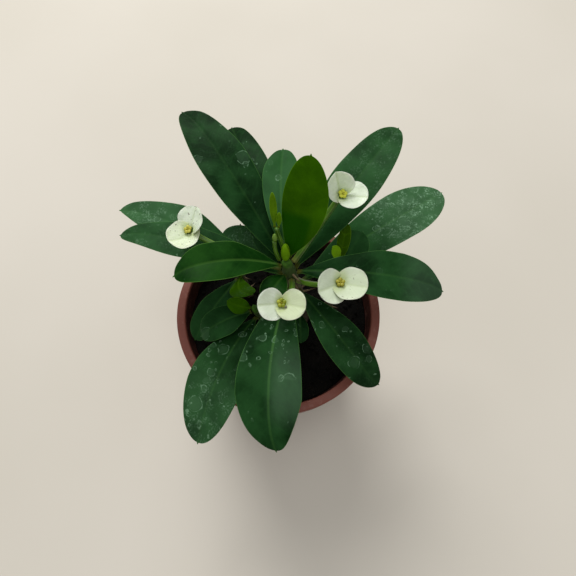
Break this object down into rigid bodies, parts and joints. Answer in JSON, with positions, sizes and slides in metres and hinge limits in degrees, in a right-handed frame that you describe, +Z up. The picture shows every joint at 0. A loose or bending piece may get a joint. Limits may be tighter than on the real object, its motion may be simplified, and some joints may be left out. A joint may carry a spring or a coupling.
{
  "type": "crown of thorns plant in a pot",
  "caption": "Crown of thorns plant with thorny stems, long leaves and paired pale bracts, in a round tapered pot of soil.",
  "frame": {"origin": "centre of the pot's underside", "axes": "+Z up, -Y towards the front of the plant, +X to its right as seen from the front"},
  "size_m": [0.1802, 0.1662, 0.2032],
  "materials": {
    "plastic": "satin",
    "soil": "matte",
    "bark": "matte",
    "dark_leaf": "satin",
    "mid_leaf": "satin",
    "young_leaf": "satin",
    "stalk": "satin",
    "bract": "matte",
    "cup": "matte"
  },
  "bodies": {
    "root": {"pot": "plastic", "soil": "soil", "main_stem": "bark", "left_shoot": "bark", "left_back_shoot": "bark", "right_shoot": "bark", "leaf_upper_left": "dark_leaf", "leaf_top_left": "dark_leaf", "leaf_top_middle": "dark_leaf", "leaf_young_upright": "young_leaf", "leaf_upper_right": "dark_leaf", "leaf_right_back": "dark_leaf", "leaf_right": "dark_leaf", "leaf_left": "mid_leaf", "leaf_far_left_back": "dark_leaf", "leaf_far_left_front": "dark_leaf", "leaf_inner_left": "dark_leaf", "leaf_front": "dark_leaf", "leaf_front_right": "dark_leaf", "leaf_small_front": "dark_leaf", "leaf_inner_front": "mid_leaf", "leaf_low_left_inner": "dark_leaf", "leaf_low_left_young": "young_leaf", "leaf_front_left": "dark_leaf", "leaf_left_back": "dark_leaf", "leaf_low_left_outer": "dark_leaf", "leaf_low_left_curled": "young_leaf", "leaf_low_right_outer": "dark_leaf", "leaf_low_right_inner": "young_leaf", "leaf_low_right_young": "young_leaf", "flower_upper_right_stalk": "stalk", "flower_upper_right_cup": "cup", "flower_upper_right_bract_a": "bract", "flower_upper_right_bract_b": "bract", "flower_right_stalk": "stalk", "flower_right_cup": "cup", "flower_right_bract_a": "bract", "flower_right_bract_b": "bract", "flower_front_stalk": "stalk", "flower_front_cup": "cup", "flower_front_bract_a": "bract", "flower_front_bract_b": "bract", "flower_left_stalk": "stalk", "flower_left_cup": "cup", "flower_left_bract_a": "bract", "flower_left_bract_b": "bract", "sprig_stalk": "stalk", "sprig_leaf_tall": "young_leaf", "sprig_leaf_short": "young_leaf", "bud_stalk": "stalk", "bud": "stalk", "growing_tip": "young_leaf"}
  },
  "joints": []
}
